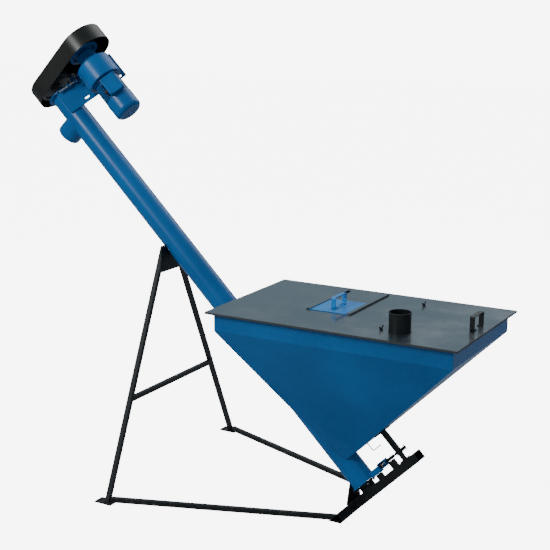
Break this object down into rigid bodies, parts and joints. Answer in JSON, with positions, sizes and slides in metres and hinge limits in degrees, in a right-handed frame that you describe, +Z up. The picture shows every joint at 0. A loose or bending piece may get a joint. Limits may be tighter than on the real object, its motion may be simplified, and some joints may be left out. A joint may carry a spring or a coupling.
{
  "type": "grain auger",
  "caption": "Inclined screw conveyor with a funnel hopper under a lid at its foot, an A-frame stand, and a geared motor driving the screw by covered belts at its head.",
  "frame": {"origin": "on the floor, at the centre of the footprint of the whole machine", "axes": "+X from the A-frame towards the hopper, along the floor under the auger; +Z up; +Y to the side, square to the auger"},
  "size_m": [2.7637, 1.306, 2.4892],
  "materials": {
    "blue_paint": "satin",
    "black_paint": "satin",
    "zinc_steel": "satin",
    "bare_steel": "satin",
    "cast_iron": "matte",
    "rubber": "matte",
    "black_plastic": "matte"
  },
  "bodies": {
    "frame": {"auger_tube": "blue_paint", "bearing_bolts": "zinc_steel", "belt_cover": "black_paint", "cable_gland": "black_plastic", "cover_carrier": "black_paint", "cross_member": "black_paint", "discharge_spout": "blue_paint", "drive_belts": "rubber", "drive_deck": "blue_paint", "end_support_plate": "black_paint", "fan_cowl": "blue_paint", "foot_bolts": "zinc_steel", "foot_plates": "black_paint", "front_base_tube": "black_paint", "front_leg": "black_paint", "gear_housing": "blue_paint", "head_plate": "black_paint", "hopper_funnel": "blue_paint", "hopper_skirt": "blue_paint", "leg_crossbar": "black_paint", "lower_bearing_housing": "black_paint", "motor_body": "blue_paint", "rear_base_tube": "black_paint", "rear_leg": "black_paint", "shaft_bearings": "bare_steel", "skid_channel": "black_paint", "strut_inner_tube": "black_paint", "strut_sleeve": "black_paint", "tension_nuts": "zinc_steel", "tension_screw": "zinc_steel", "terminal_box": "blue_paint", "terminal_box_lid": "blue_paint", "tie_arm": "blue_paint", "tie_box": "blue_paint", "tie_nuts": "black_paint", "tie_posts": "black_paint", "tie_rod": "black_paint", "tie_spring": "zinc_steel", "tube_end_plate": "blue_paint", "tube_top_flange": "blue_paint", "upper_bearing_housing": "black_paint", "wall_hook": "blue_paint"},
    "screw": {"auger_shaft": "bare_steel", "auger_flighting": "bare_steel", "driven_pulley": "cast_iron"},
    "output": {"output_shaft": "bare_steel", "driver_pulley": "blue_paint"},
    "rotor": {"motor_shaft": "bare_steel", "cooling_fan": "black_plastic"},
    "lid": {"lid_panel": "black_paint", "left_guide": "black_paint", "right_guide": "black_paint", "fill_collar": "black_paint", "lid_handle": "black_paint"},
    "shutter": {"shutter_plate": "blue_paint", "shutter_handle": "blue_paint"},
    "front_wing": {"front_wing_bolt": "black_paint"},
    "rear_wing": {"rear_wing_bolt": "black_paint"},
    "clamp": {"strut_clamp_screw": "black_paint"}
  },
  "joints": [
    {"name": "auger_spin", "type": "hinge", "parent": "frame", "child": "screw", "pos_m": [-1.16911, 0, 2.05061], "axis": [-0.7071, 0, 0.7071], "continuous": true},
    {"name": "output_spin", "type": "hinge", "parent": "frame", "child": "output", "pos_m": [-1.03087, 0, 2.31613], "axis": [-0.7071, 0, 0.7071], "continuous": true},
    {"name": "rotor_spin", "type": "hinge", "parent": "frame", "child": "rotor", "pos_m": [-0.82581, 0, 2.11107], "axis": [-0.7071, 0, 0.7071], "continuous": true},
    {"name": "lid_lift", "type": "slide", "parent": "frame", "child": "lid", "axis": [0, 0, 1], "range_m": [0, 0.3]},
    {"name": "shutter_slide", "type": "slide", "parent": "lid", "child": "shutter", "axis": [0, 1, 0], "range_m": [0, 0.22]},
    {"name": "front_wing_turn", "type": "hinge", "parent": "lid", "child": "front_wing", "pos_m": [0.932, -0.261, 1.08], "axis": [0, 0, 1], "continuous": true},
    {"name": "rear_wing_turn", "type": "hinge", "parent": "lid", "child": "rear_wing", "pos_m": [0.932, 0.261, 1.08], "axis": [0, 0, 1], "continuous": true},
    {"name": "clamp_turn", "type": "hinge", "parent": "frame", "child": "clamp", "pos_m": [0.95221, 0, 0.38184], "axis": [0.7071, 0, 0.7071], "continuous": true}
  ],
  "couplings": [
    {"joint": "output_spin", "follows": "auger_spin", "ratio": 1.1183},
    {"joint": "rotor_spin", "follows": "auger_spin", "ratio": 7.8281}
  ]
}
